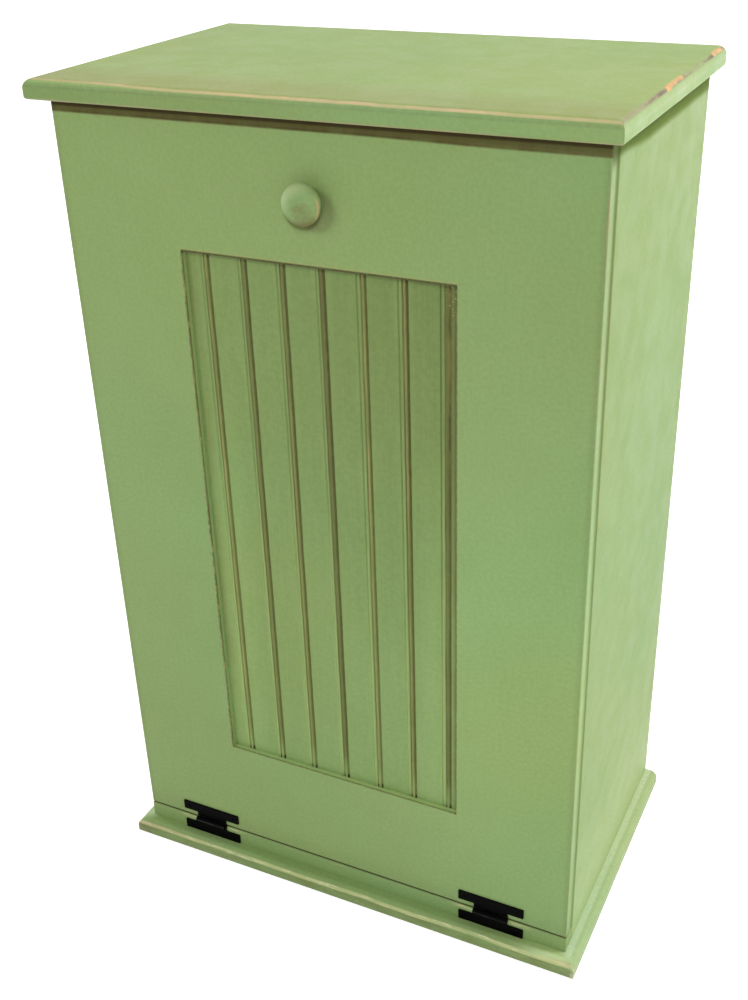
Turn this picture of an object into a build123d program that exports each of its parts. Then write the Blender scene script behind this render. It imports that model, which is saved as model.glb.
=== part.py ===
from build123d import *
from collections import namedtuple
from math import acos, atan2, degrees, hypot, radians, tan
import os

os.makedirs("parts", exist_ok=True)

# Tilt-out trash bin holder: a pine cabinet whose whole front hangs on two hinges at the floor end
# and carries a cradle for the bin. Millimetres, x across the front, y from front to back, z up.

# Driving sizes
board = 19.0
width = 540.0
depth = 331.0
height = 918.0
knob_projection = 24.5

top_side_overhang = 13.8
top_front_overhang = 19.7
base_side_overhang = 15.2
base_front_overhang = 16.4

joint_z = 40.2
joint_gap = 1.4
door_top_gap = 3.0
door_back_gap = 1.4
arris = 1.2

opening_width = 280.5
opening_bottom = 170.6
opening_top = 765.2
groove_width = 6.4
groove_depth = 9.5

# Places that follow from them
front_y = -(depth - knob_projection) / 2
back_y = front_y + depth
top_underside = height - board
inner_half = width / 2 - board
door_back = front_y + board
side_front = door_back + door_back_gap
door_bottom = joint_z + joint_gap / 2
door_top = top_underside - door_top_gap
rail_top = joint_z - joint_gap / 2
stile_width = (width - opening_width) / 2
batten = board
pilot_play = 0.1

# Ways that a fastener or a hole can face, as turns of its own upward axis
face_front = (90, 0, 0)
face_back = (-90, 0, 0)
face_up = (0, 0, 0)
face_down = (180, 0, 0)
face_side = {-1: (0, -90, 0), 1: (0, 90, 0)}
hands = {-1: "left", 1: "right"}

Screw = namedtuple("Screw", "head shank length")
hinge_screw = Screw(head=2.85, shank=1.5, length=15.0)
batten_screw = Screw(head=4.0, shank=2.0, length=30.0)
long_screw = Screw(head=4.0, shank=2.0, length=38.0)
catch_screw = Screw(head=2.8, shank=1.4, length=13.0)
plate_screw = Screw(head=2.3, shank=1.3, length=10.0)
countersink_angle = 82
tip_length = 3.0
recess_depth = 1.1


def finish(builder, name):
    """Label a finished piece and write it to its own file."""
    builder.part.label = name
    export_step(builder.part, f"parts/{name}.step")


def spots(points, facing):
    """Places for fasteners: each has its head at the point and looks the way it faces."""
    return [Location(point, facing) for point in points]


def flat_head_screw(screw):
    """A countersunk screw, head flush with z = 0, shank downward, with a cross recess."""
    cone = (screw.head - screw.shank) / tan(radians(countersink_angle / 2))
    with BuildPart() as body:
        with BuildSketch(Plane.XZ):
            with BuildLine():
                Polyline(
                    (0, 0),
                    (screw.head, 0),
                    (screw.shank, -cone),
                    (screw.shank, tip_length - screw.length),
                    (0, -screw.length),
                    close=True,
                )
            make_face()
        revolve(axis=Axis.Z)
        with BuildSketch():
            Rectangle(screw.head * 1.1, screw.head * 0.28)
            Rectangle(screw.head * 0.28, screw.head * 1.1)
        extrude(amount=-recess_depth, mode=Mode.SUBTRACT)
    return body.part


def sink_screws(screw, places):
    """Countersunk clearance holes in the piece that the screw heads lie in."""
    with Locations(*places):
        CounterSinkHole(
            screw.shank + pilot_play,
            screw.head + pilot_play,
            depth=screw.length + 1,
            counter_sink_angle=countersink_angle,
        )


def pilot_screws(screw, places):
    """Plain holes in the piece that the screw tips bite into."""
    with Locations(*places):
        Hole(screw.shank + pilot_play, depth=screw.length + 1)


def screw_group(screw, places, name):
    """All screws of one kind, as separate solids in one piece."""
    solid = flat_head_screw(screw)
    with BuildPart() as group:
        with Locations(*places):
            add(solid)
    finish(group, name)


def strip(x_range, y_range, z_range):
    """A sawn strip or board between three pairs of limits."""
    limits = (x_range, y_range, z_range)
    with Locations(tuple(sum(pair) / 2 for pair in limits)):
        Box(*[pair[1] - pair[0] for pair in limits])


def mirrored(limits, side):
    """Limits across the cabinet, given for the right side, on the side asked for."""
    return limits if side > 0 else (-limits[1], -limits[0])


# Fastener places of the cabinet
stretcher_width = 64.0
back_panel_thickness = 6.0
rabbet_depth = 6.2
rabbet_width = 9.5
rabbet_side_play = 0.5
back_panel_front = back_y - back_panel_thickness
stretcher_bottom = top_underside - board
stretcher_fronts = {"front": side_front, "back": back_panel_front - stretcher_width}

top_screw_spacing = 200
top_screw_spots = spots(
    [
        (i * top_screw_spacing, y + stretcher_width / 2, stretcher_bottom)
        for i in (-1, 0, 1)
        for y in stretcher_fronts.values()
    ],
    face_down,
)
side_centre_y = (side_front + back_y) / 2
panel_screw_spacing = 120
base_screw_spots = spots(
    [
        (side * (width - board) / 2, side_centre_y + i * panel_screw_spacing, 0)
        for side in hands
        for i in (-1, 0, 1)
    ],
    face_down,
)
toe_screw_x = (-205, -70, 70, 205)
toe_screw_spots = spots([(x, (front_y + side_front) / 2, 0) for x in toe_screw_x], face_down)

dowel_radius = 4.0
dowel_in_panel = 12.0
dowel_in_stretcher = 18.0
dowel_play = 0.05
dowel_end_play = 1.0
dowel_end_chamfer = 0.8
dowel_steps = (16, 48)
dowel_z = top_underside - board / 2
dowel_points = {
    side: [(side * inner_half, y + step, dowel_z) for y in stretcher_fronts.values() for step in dowel_steps]
    for side in hands
}

corner_cleat_y = (side_front, side_front + batten)
corner_cleat_x = (inner_half - batten, inner_half)
base_cleat_y = (corner_cleat_y[1], back_panel_front - batten)
corner_screw_heights = (110, 340, 570, 800)
corner_screw_spots = {
    side: spots(
        [(side * corner_cleat_x[0], sum(corner_cleat_y) / 2, z) for z in corner_screw_heights],
        face_side[-side],
    )
    for side in hands
}
base_cleat_screw_y = (-60, 80)
base_cleat_screw_spots = {
    side: spots(
        [(side * corner_cleat_x[0], y, board + batten / 2) for y in base_cleat_screw_y],
        face_side[-side],
    )
    for side in hands
}
back_cleat_screw_x = (-210, -85, 85, 210)
back_cleat_screw_spots = spots(
    [(x, back_panel_front - batten / 2, board + batten) for x in back_cleat_screw_x],
    face_up,
)

nail_radius = 0.8
nail_head_radius = 1.8
nail_head_height = 0.6
nail_length = 20.0
nail_x = inner_half + 4.5
nail_heights = (60, 215, 370, 525, 680, 835)
edge_nail_heights = (board + batten / 2, top_underside - board / 2)
edge_nail_x = (-170, 0, 170)
nail_spots = spots(
    [(side * nail_x, back_y, z) for side in hands for z in nail_heights]
    + [(x, back_y, z) for x in edge_nail_x for z in edge_nail_heights],
    face_back,
)

# Magnetic catch under the front stretcher, and its plate on the door
catch_width = 46.0
catch_height = 13.0
catch_y = (side_front + 1.0, side_front + 15.0)
catch_corner = 2.0
magnet_size = (28.0, 10.0, 8.0)
magnet_front = side_front + 0.3
magnet_play = 0.1
magnet_chamfer = 0.5
catch_bottom = stretcher_bottom - catch_height
catch_screw_drop = 8.0
catch_screw_x = 18.5
catch_screw_points = [(side * catch_screw_x, sum(catch_y) / 2) for side in hands]
catch_screw_spots = spots([(x, y, catch_bottom + catch_screw_drop) for x, y in catch_screw_points], face_down)
plate_size = (36.0, 14.0, 1.2)
plate_z = stretcher_bottom - catch_height / 2
plate_screw_spots = spots([(0, door_back + plate_size[2], plate_z)], face_back)

# Hinges: each is a bar on the door and a bar on the toe rail, joined by a three-knuckle barrel
hinge_x = 182.4
hinge_z = 40.6
hinge_length = 77.0
hinge_half_height = 21.3
bar_height = 12.6
neck_width = 39.6
bar_corner = 0.8
leaf_thickness = 1.6
pin_radius = 1.6
barrel_radius = 3.25
barrel_standoff = 3.5
middle_knuckle = 16.4
knuckle_gap = 0.3
notch_height = 4.3
running_play = 0.05
fixed_play = 0.02
pin_end = 0.6
hinge_y = front_y - barrel_standoff
hinge_screw_x = 31.0
bar_centre = hinge_half_height - bar_height / 2
hinge_screw_spots = {
    lift: spots(
        [
            (side * hinge_x + x, front_y - leaf_thickness, hinge_z + lift * bar_centre)
            for side in hands
            for x in (-hinge_screw_x, hinge_screw_x)
        ],
        face_front,
    )
    for lift in (-1, 1)
}

# Knob
knob_z = 826.5
knob_radius = 19.0
knob_foot_radius = 10.5
knob_foot_depth = 2.0
knob_waist = (5.0, 9.2)
knob_neck = (8.0, 11.5)
knob_rim_depth = 13.8
knob_edge_radius = 7.4
knob_screw_radius = 2.0
knob_screw_length = board + 13.0
knob_screw_head = (4.2, 2.6)
knob_screw_head_edge = 0.9

# Cradle for the bin, fixed to the back of the door
cradle_depth = 276.0
cradle_outer_half = 228.0
cradle_bottom = 46.0
cradle_top = 332.0
back_rail_height = 64.0
back_rail_half = 244.0
cradle_cleat_length = 194.0
cradle_cleat_lift = 6.0
cradle_edge = 3.0
back_rail_edge = 2.0
cradle_back = door_back + cradle_depth
shelf_half = cradle_outer_half - board
shelf_top = cradle_bottom + board
cradle_y = (door_back, cradle_back)
back_rail_y = (cradle_back, cradle_back + board)
back_rail_z = (cradle_top - back_rail_height, cradle_top)
cradle_cleat_x = (shelf_half - batten, shelf_half)
cradle_cleat_y = (door_back, door_back + batten)
cradle_cleat_z = (shelf_top + cradle_cleat_lift, shelf_top + cradle_cleat_lift + cradle_cleat_length)
shelf_screw_y = (50, 138, 226)
shelf_screw_spots = {
    side: spots(
        [(side * cradle_outer_half, door_back + y, cradle_bottom + board / 2) for y in shelf_screw_y],
        face_side[side],
    )
    for side in hands
}
back_rail_screw_z = (14, 50)
back_rail_screw_spots = {
    side: spots(
        [
            (side * (cradle_outer_half - board / 2), back_rail_y[1], back_rail_z[0] + z)
            for z in back_rail_screw_z
        ],
        face_back,
    )
    for side in hands
}
cleat_to_door_z = (30, 170)
cleat_to_side_z = (50, 150)
cleat_to_door_spots = {
    side: spots(
        [(side * sum(cradle_cleat_x) / 2, cradle_cleat_y[1], cradle_cleat_z[0] + z) for z in cleat_to_door_z],
        face_back,
    )
    for side in hands
}
cleat_to_side_spots = {
    side: spots(
        [(side * cradle_outer_half, sum(cradle_cleat_y) / 2, cradle_cleat_z[0] + z) for z in cleat_to_side_z],
        face_side[side],
    )
    for side in hands
}


# Top board and base board, rounded over on the front and both ends
roundovers = {"top": (8.6, 3.1), "base": (9.3, 2.6)}
for name, side_overhang, front_overhang, z in (
    ("top", top_side_overhang, top_front_overhang, top_underside),
    ("base", base_side_overhang, base_front_overhang, 0),
):
    half_length = width / 2 + side_overhang
    upper_radius, lower_radius = roundovers[name]
    with BuildPart() as flat_board:
        strip((-half_length, half_length), (front_y - front_overhang, back_y), (z, z + board))
        fillet(flat_board.faces().sort_by(Axis.Z)[-1].edges().sort_by(Axis.Y)[:-1], upper_radius)
        fillet(flat_board.faces().sort_by(Axis.Z)[0].edges().sort_by(Axis.Y)[:-1], lower_radius)
        if name == "top":
            pilot_screws(batten_screw, top_screw_spots)
        else:
            sink_screws(long_screw, base_screw_spots)
            sink_screws(batten_screw, toe_screw_spots)
            pilot_screws(batten_screw, back_cleat_screw_spots)
    finish(flat_board, f"{name}_board")

# Side panels, rabbeted for the back
for side, hand in hands.items():
    with BuildPart() as side_panel:
        strip(mirrored((inner_half, width / 2), side), (side_front, back_y), (board, top_underside))
        outer_edges = side_panel.edges().filter_by(Axis.Z).group_by(Axis.X)[-1 if side > 0 else 0]
        fillet(outer_edges, arris)
        rabbet_x = mirrored((inner_half, inner_half + rabbet_width), side)
        with BuildSketch(Plane.XY.offset(board)):
            with Locations((sum(rabbet_x) / 2, back_y - rabbet_depth / 2)):
                Rectangle(rabbet_width, rabbet_depth)
        extrude(amount=top_underside - board, mode=Mode.SUBTRACT)
        with Locations(*spots(dowel_points[side], face_side[-side])):
            Hole(dowel_radius + dowel_play, depth=dowel_in_panel + dowel_end_play)
        pilot_screws(long_screw, base_screw_spots)
        pilot_screws(batten_screw, corner_screw_spots[side] + base_cleat_screw_spots[side])
        with Locations(*nail_spots):
            Hole(nail_radius + pilot_play, depth=nail_length + 1)
    finish(side_panel, f"side_panel_{hand}")

# Back panel
with BuildPart() as back_panel:
    half = inner_half + rabbet_width - rabbet_side_play
    strip((-half, half), (back_panel_front, back_y), (board, top_underside))
    with Locations(*nail_spots):
        CounterBoreHole(
            nail_radius + pilot_play,
            nail_head_radius + pilot_play,
            nail_head_height,
            depth=back_panel_thickness,
        )
finish(back_panel, "back_panel")

# Toe rail, glued to the ends of the side panels and flush with the closed door
with BuildPart() as toe_rail:
    strip((-width / 2, width / 2), (front_y, side_front), (board, rail_top))
    top_edges = toe_rail.faces().sort_by(Axis.Z)[-1].edges()
    fillet(top_edges.sort_by(Axis.Y)[0], arris)
    pilot_screws(hinge_screw, hinge_screw_spots[-1])
    pilot_screws(batten_screw, toe_screw_spots)
finish(toe_rail, "toe_rail")

# Stretchers that join the side panels and carry the top board
for place, y in stretcher_fronts.items():
    with BuildPart() as stretcher:
        strip((-inner_half, inner_half), (y, y + stretcher_width), (stretcher_bottom, top_underside))
        for side in hands:
            with Locations(*spots(dowel_points[side], face_side[side])):
                Hole(dowel_radius + dowel_play, depth=dowel_in_stretcher + dowel_end_play)
        sink_screws(batten_screw, top_screw_spots)
        if place == "front":
            pilot_screws(catch_screw, catch_screw_spots)
        else:
            with Locations(*nail_spots):
                Hole(nail_radius + pilot_play, depth=nail_length + 1)
    finish(stretcher, f"top_stretcher_{place}")

# Dowels between stretchers and side panels
with BuildPart() as dowels:
    for side in hands:
        for x, y, z in dowel_points[side]:
            with BuildSketch(Plane.YZ.offset(x - dowel_in_stretcher * side)):
                with Locations((y, z)):
                    Circle(dowel_radius)
            extrude(amount=(dowel_in_stretcher + dowel_in_panel) * side)
    chamfer(dowels.edges().filter_by(GeomType.CIRCLE), dowel_end_chamfer)
finish(dowels, "stretcher_dowels")

# Corner cleats stiffen the front corners and stop the open cradle
for side, hand in hands.items():
    with BuildPart() as corner_cleat:
        strip(mirrored(corner_cleat_x, side), corner_cleat_y, (board, stretcher_bottom))
        sink_screws(batten_screw, corner_screw_spots[side])
    finish(corner_cleat, f"corner_cleat_{hand}")

# Base cleats inside the bottom of the cabinet
for side, hand in hands.items():
    with BuildPart() as base_cleat:
        strip(mirrored(corner_cleat_x, side), base_cleat_y, (board, board + batten))
        sink_screws(batten_screw, base_cleat_screw_spots[side])
    finish(base_cleat, f"base_cleat_{hand}")

with BuildPart() as base_cleat_back:
    strip((-inner_half, inner_half), (base_cleat_y[1], back_panel_front), (board, board + batten))
    sink_screws(batten_screw, back_cleat_screw_spots)
    with Locations(*nail_spots):
        Hole(nail_radius + pilot_play, depth=nail_length + 1)
finish(base_cleat_back, "base_cleat_back")

# Back panel nails
with BuildPart() as one_nail:
    with BuildSketch(Plane.XZ):
        with BuildLine():
            Polyline(
                (0, 0),
                (nail_head_radius, 0),
                (nail_head_radius, -nail_head_height),
                (nail_radius, -nail_head_height),
                (nail_radius, nail_radius * 2 - nail_length),
                (0, -nail_length),
                close=True,
            )
        make_face()
    revolve(axis=Axis.Z)
with BuildPart() as nails:
    with Locations(*nail_spots):
        add(one_nail.part)
finish(nails, "back_panel_nails")

# Catch case, its magnet and the plate on the door
magnet_y = (magnet_front, magnet_front + magnet_size[1])
magnet_z = (plate_z - magnet_size[2] / 2, plate_z + magnet_size[2] / 2)
with BuildPart() as catch_case:
    strip((-catch_width / 2, catch_width / 2), catch_y, (catch_bottom, stretcher_bottom))
    fillet(catch_case.edges().filter_by(Axis.Z), catch_corner)
    with BuildSketch(Plane.XZ.offset(-catch_y[0])):
        with Locations((0, plate_z)):
            Rectangle(magnet_size[0] + 2 * magnet_play, magnet_size[2] + 2 * magnet_play)
    extrude(amount=catch_y[0] - magnet_y[1] - magnet_play, mode=Mode.SUBTRACT)
    sink_screws(catch_screw, catch_screw_spots)
    with Locations(*spots([(x, y, catch_bottom) for x, y in catch_screw_points], face_down)):
        Hole(catch_screw.head + pilot_play, depth=catch_screw_drop)
finish(catch_case, "catch_case")

with BuildPart() as catch_magnet:
    strip((-magnet_size[0] / 2, magnet_size[0] / 2), magnet_y, magnet_z)
    chamfer(catch_magnet.faces().sort_by(Axis.Y)[0].edges(), magnet_chamfer)
finish(catch_magnet, "catch_magnet")

with BuildPart() as catch_plate:
    with BuildSketch(Plane.XZ.offset(-door_back)):
        with Locations((0, plate_z)):
            RectangleRounded(plate_size[0], plate_size[1], catch_corner)
    extrude(amount=-plate_size[2])
    sink_screws(plate_screw, plate_screw_spots)
finish(catch_plate, "catch_plate")

# Hinge leaves and pins
for side, hand in hands.items():
    centre_x = side * hinge_x
    middle = (centre_x - middle_knuckle / 2, centre_x + middle_knuckle / 2)
    outer = (centre_x - neck_width / 2, centre_x + neck_width / 2)
    outer_knuckles = [(outer[0], middle[0] - knuckle_gap), (middle[1] + knuckle_gap, outer[1])]
    own_knuckles = {"upper": [middle], "lower": outer_knuckles}
    for level, lift in (("upper", 1), ("lower", -1)):
        leaf_plane = Plane(origin=(centre_x, front_y, hinge_z), x_dir=(1, 0, 0), z_dir=(0, -1, 0))
        with BuildPart() as leaf:
            with BuildSketch(leaf_plane):
                with Locations((0, lift * bar_centre)):
                    RectangleRounded(hinge_length, bar_height, bar_corner)
                neck_height = bar_centre - notch_height
                with Locations((0, lift * (notch_height + neck_height / 2))):
                    Rectangle(neck_width, neck_height)
                for x0, x1 in own_knuckles[level]:
                    with Locations(((x0 + x1) / 2 - centre_x, lift * notch_height / 2)):
                        Rectangle(x1 - x0, notch_height)
            extrude(amount=leaf_thickness)
            for x0, x1 in own_knuckles[level]:
                with BuildSketch(Plane.YZ.offset(x0)):
                    with Locations((hinge_y, hinge_z)):
                        Circle(barrel_radius)
                extrude(amount=x1 - x0)
            bore = pin_radius + (running_play if level == "upper" else fixed_play)
            with BuildSketch(Plane.YZ.offset(outer[0])):
                with Locations((hinge_y, hinge_z)):
                    Circle(bore)
            extrude(amount=neck_width, mode=Mode.SUBTRACT)
            own_spots = [spot for spot in hinge_screw_spots[lift] if spot.position.X * side > 0]
            sink_screws(hinge_screw, own_spots)
        finish(leaf, f"hinge_leaf_{level}_{hand}")
    with BuildPart() as pin:
        with BuildSketch(Plane.YZ.offset(outer[0] - pin_end)):
            with Locations((hinge_y, hinge_z)):
                Circle(pin_radius)
        extrude(amount=neck_width + 2 * pin_end)
        fillet(pin.edges().filter_by(GeomType.CIRCLE), pin_end)
    finish(pin, f"hinge_pin_{hand}")

# Door frame: grooved stiles, and grooved rails with stub tenons
for side, hand in hands.items():
    stile_x = mirrored((width / 2 - stile_width, width / 2), side)
    groove_x = side * (opening_width + groove_depth) / 2
    with BuildPart() as stile:
        strip(stile_x, (front_y, door_back), (door_bottom, door_top))
        front_edges = stile.faces().sort_by(Axis.Y)[0].edges()
        inner_edge = front_edges.filter_by(Axis.Z).sort_by(Axis.X)[0 if side > 0 else -1]
        fillet([edge for edge in front_edges if edge is not inner_edge], arris)
        with BuildSketch(Plane.XY.offset(door_bottom)):
            with Locations((groove_x, front_y + board / 2)):
                Rectangle(groove_depth, groove_width)
        extrude(amount=door_top - door_bottom, mode=Mode.SUBTRACT)
        own_spots = [spot for spot in hinge_screw_spots[1] if spot.position.X * side > 0]
        pilot_screws(hinge_screw, own_spots)
        pilot_screws(batten_screw, cleat_to_door_spots[side])
    finish(stile, f"door_stile_{hand}")

tenon_play = 0.2
tenon_length = groove_depth - tenon_play
tenon_thickness = groove_width - tenon_play
door_middle_y = front_y + board / 2
for name, low, high, groove_z in (
    ("bottom", door_bottom, opening_bottom, opening_bottom - groove_depth / 2),
    ("top", opening_top, door_top, opening_top + groove_depth / 2),
):
    with BuildPart() as rail:
        with BuildSketch(Plane.YZ):
            with Locations((door_middle_y, (low + high) / 2)):
                Rectangle(board, high - low)
        extrude(amount=opening_width / 2, both=True)
        outer_z = -1 if name == "top" else 0
        fillet(rail.faces().sort_by(Axis.Z)[outer_z].edges().filter_by(Axis.X).sort_by(Axis.Y)[0], arris)
        with BuildSketch(Plane.YZ):
            with Locations((door_middle_y, (low + high) / 2)):
                Rectangle(tenon_thickness, high - low)
        extrude(amount=opening_width / 2 + tenon_length, both=True)
        with BuildSketch(Plane.YZ):
            with Locations((door_middle_y, groove_z)):
                Rectangle(groove_width, groove_depth)
        extrude(amount=opening_width / 2 + groove_depth, both=True, mode=Mode.SUBTRACT)
        if name == "top":
            with Locations(Location((0, door_back, knob_z), face_back)):
                Hole(knob_screw_radius + pilot_play, depth=board)
            pilot_screws(plate_screw, plate_screw_spots)
    finish(rail, f"door_rail_{name}")

# Beadboard panel, loose in the grooves
panel_play = 0.5
panel_thickness = 6.0
panel_recess = (board - groove_width) / 2 + 0.1
bead_count = 7
bead_pitch = 41.1
bead_shift = 4.0
bead_half = 3.7
bead_groove = 2.0
bead_depth = 1.7
bead_slope = 1.0
bead_drop = 0.15
panel_half = opening_width / 2 + groove_depth - panel_play
panel_bottom = opening_bottom - groove_depth + panel_play
panel_top = opening_top + groove_depth - panel_play

with BuildSketch(mode=Mode.PRIVATE) as bead_cut:
    with BuildLine():
        cut_half = bead_half + bead_groove
        floor_half = cut_half - bead_slope
        Polyline((-bead_half, bead_depth), (-floor_half, bead_depth), (-cut_half, 0), (-cut_half, -1))
        Line((-cut_half, -1), (cut_half, -1))
        Polyline((cut_half, -1), (cut_half, 0), (floor_half, bead_depth), (bead_half, bead_depth))
        ThreePointArc((bead_half, bead_depth), (0, bead_drop), (-bead_half, bead_depth))
    make_face()

with BuildPart() as beadboard_panel:
    with BuildSketch(Plane.XY.offset(panel_bottom)):
        with Locations((0, front_y + panel_recess + panel_thickness / 2)):
            Rectangle(2 * panel_half, panel_thickness)
        for i in range(bead_count):
            bead_x = bead_shift + (i - (bead_count - 1) / 2) * bead_pitch
            with Locations((bead_x, front_y + panel_recess)):
                add(bead_cut.sketch, mode=Mode.SUBTRACT)
    extrude(amount=panel_top - panel_bottom)
finish(beadboard_panel, "beadboard_panel")

# Turned knob and the screw that holds it from behind
foot_y = front_y - knob_foot_depth
waist = (front_y - knob_waist[0], knob_z + knob_waist[1])
neck_top = (front_y - knob_neck[0], knob_z + knob_neck[1])
rim = (front_y - knob_rim_depth, knob_z + knob_radius)
crown = (front_y - knob_projection, knob_z)
dome_rise = knob_projection - knob_rim_depth
edge_centre = knob_radius - knob_edge_radius
dome_radius = (dome_rise**2 + edge_centre**2 - knob_edge_radius**2) / (2 * (dome_rise - knob_edge_radius))
dome_share = dome_radius / (dome_radius - knob_edge_radius)
shoulder = (
    crown[0] + dome_radius - dome_share * (dome_radius - dome_rise),
    knob_z + dome_share * edge_centre,
)
with BuildPart() as knob:
    with BuildSketch(Plane.YZ):
        with BuildLine():
            foot_top = knob_z + knob_foot_radius
            Polyline((front_y, knob_z), (front_y, foot_top), (foot_y, foot_top))
            ThreePointArc((foot_y, foot_top), waist, neck_top)
            TangentArc(rim, neck_top, tangent=(1, 0))
            TangentArc(rim, shoulder, tangent=(-1, 0))
            TangentArc(crown, shoulder, tangent=(0, 1))
            Line(crown, (front_y, knob_z))
        make_face()
    revolve(axis=Axis((0, 0, knob_z), (0, 1, 0)))
    with Locations(Location((0, front_y, knob_z), face_back)):
        Hole(knob_screw_radius + pilot_play, depth=knob_screw_length - board + 1)
finish(knob, "knob")

with BuildPart() as knob_screw:
    head_radius, head_height = knob_screw_head
    with BuildSketch(Plane.XZ):
        with BuildLine():
            Line((0, head_height), (0, -knob_screw_length))
            Polyline(
                (0, -knob_screw_length),
                (knob_screw_radius, tip_length - knob_screw_length),
                (knob_screw_radius, 0),
                (head_radius, 0),
                (head_radius, knob_screw_head_edge),
            )
            TangentArc((0, head_height), (head_radius, knob_screw_head_edge), tangent=(1, 0))
        make_face()
    revolve(axis=Axis.Z)
with BuildPart() as placed_knob_screw:
    with Locations(Location((0, door_back, knob_z), face_back)):
        add(knob_screw.part)
finish(placed_knob_screw, "knob_screw")

# Cradle: shelf, two sides, a rail across the back whose ends meet the corner cleats, and cleats
with BuildPart() as bin_shelf:
    strip((-shelf_half, shelf_half), cradle_y, (cradle_bottom, shelf_top))
    for side in hands:
        pilot_screws(long_screw, shelf_screw_spots[side])
finish(bin_shelf, "bin_shelf")

for side, hand in hands.items():
    with BuildPart() as cradle_side:
        strip(mirrored((shelf_half, cradle_outer_half), side), cradle_y, (cradle_bottom, cradle_top))
        fillet(cradle_side.faces().sort_by(Axis.Z)[-1].edges().filter_by(Axis.Y), cradle_edge)
        sink_screws(long_screw, shelf_screw_spots[side])
        sink_screws(batten_screw, cleat_to_side_spots[side])
        pilot_screws(long_screw, back_rail_screw_spots[side])
    finish(cradle_side, f"cradle_side_{hand}")

    with BuildPart() as cradle_cleat:
        strip(mirrored(cradle_cleat_x, side), cradle_cleat_y, cradle_cleat_z)
        sink_screws(batten_screw, cleat_to_door_spots[side])
        pilot_screws(batten_screw, cleat_to_side_spots[side])
    finish(cradle_cleat, f"cradle_cleat_{hand}")

with BuildPart() as cradle_back_rail:
    strip((-back_rail_half, back_rail_half), back_rail_y, back_rail_z)
    fillet(cradle_back_rail.edges().filter_by(Axis.X).group_by(Axis.Z)[-1], back_rail_edge)
    for side in hands:
        sink_screws(long_screw, back_rail_screw_spots[side])
finish(cradle_back_rail, "cradle_back_rail")

# Bumpers that keep the closed door off the side panels
bumper_radius = 4.5
bumper_thickness = 1.2
bumper_x = inner_half + board / 2
bumper_drop = 14.0
bumper_z = door_top - bumper_drop
with BuildPart() as bumpers:
    with BuildSketch(Plane.XZ.offset(-door_back)):
        with Locations(*[(side * bumper_x, bumper_z) for side in hands]):
            Circle(bumper_radius)
    extrude(amount=-bumper_thickness)
finish(bumpers, "door_bumpers")

# Screws
screw_group(hinge_screw, hinge_screw_spots[1], "hinge_screws_upper")
screw_group(hinge_screw, hinge_screw_spots[-1], "hinge_screws_lower")
screw_group(batten_screw, top_screw_spots, "top_screws")
screw_group(long_screw, base_screw_spots, "base_screws")
screw_group(batten_screw, toe_screw_spots, "toe_rail_screws")
cleat_screw_spots = [
    spot for side in hands for spot in corner_screw_spots[side] + base_cleat_screw_spots[side]
]
screw_group(batten_screw, cleat_screw_spots + back_cleat_screw_spots, "cleat_screws")
screw_group(catch_screw, catch_screw_spots, "catch_screws")
screw_group(plate_screw, plate_screw_spots, "catch_plate_screw")
frame_screw_spots = [spot for side in hands for spot in shelf_screw_spots[side] + back_rail_screw_spots[side]]
screw_group(long_screw, frame_screw_spots, "cradle_screws")
door_screw_spots = [spot for side in hands for spot in cleat_to_door_spots[side] + cleat_to_side_spots[side]]
screw_group(batten_screw, door_screw_spots, "cradle_cleat_screws")

# Where the cradle's back rail meets the corner cleats
rail_reach = (cradle_back - hinge_y, cradle_top - hinge_z)
stop_distance = corner_cleat_y[1] - hinge_y
stop_angle = degrees(acos(stop_distance / hypot(*rail_reach)) - atan2(rail_reach[1], rail_reach[0]))
print(f"door stops at {stop_angle:.2f} degrees, hinge line y {hinge_y:.2f} z {hinge_z:.2f}")
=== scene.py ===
import math
import bpy
from mathutils import Matrix, Vector


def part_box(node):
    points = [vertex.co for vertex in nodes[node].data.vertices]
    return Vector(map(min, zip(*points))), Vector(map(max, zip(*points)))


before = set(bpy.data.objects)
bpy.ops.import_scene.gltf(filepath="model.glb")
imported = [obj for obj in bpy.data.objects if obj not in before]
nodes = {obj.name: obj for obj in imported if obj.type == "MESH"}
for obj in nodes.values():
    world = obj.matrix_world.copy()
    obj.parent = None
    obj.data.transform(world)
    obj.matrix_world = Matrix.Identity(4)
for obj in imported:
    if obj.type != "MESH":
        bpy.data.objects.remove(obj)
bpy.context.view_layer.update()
mm = 0.001
print("frame loaded with", len(nodes), "nodes")


def inMm(*lengths):
    return tuple(length * mm for length in lengths)


# Shader maths: a Wire is one socket, and Python's operators on it add Math nodes
class Wire:
    def __init__(self, finish, socket):
        self.finish = finish
        self.socket = socket

    def __add__(self, other):
        return self.finish.math("ADD", self, other)

    def __radd__(self, other):
        return self.finish.math("ADD", other, self)

    def __sub__(self, other):
        return self.finish.math("SUBTRACT", self, other)

    def __rsub__(self, other):
        return self.finish.math("SUBTRACT", other, self)

    def __mul__(self, other):
        return self.finish.math("MULTIPLY", self, other)

    def __rmul__(self, other):
        return self.finish.math("MULTIPLY", other, self)

    def __truediv__(self, other):
        return self.finish.math("DIVIDE", self, other)

    def __neg__(self):
        return self.finish.math("MULTIPLY", self, -1)

    def __abs__(self):
        return self.finish.math("ABSOLUTE", self)

    def rise(self, low, high):
        return self.finish.rise(self, low, high)

    def fall(self, low, high):
        return 1 - self.finish.rise(self, low, high)

    # up from start to full, and down again from fade to end
    def band(self, start, full, fade, end):
        return self.rise(start, full) * self.fall(fade, end)


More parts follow.
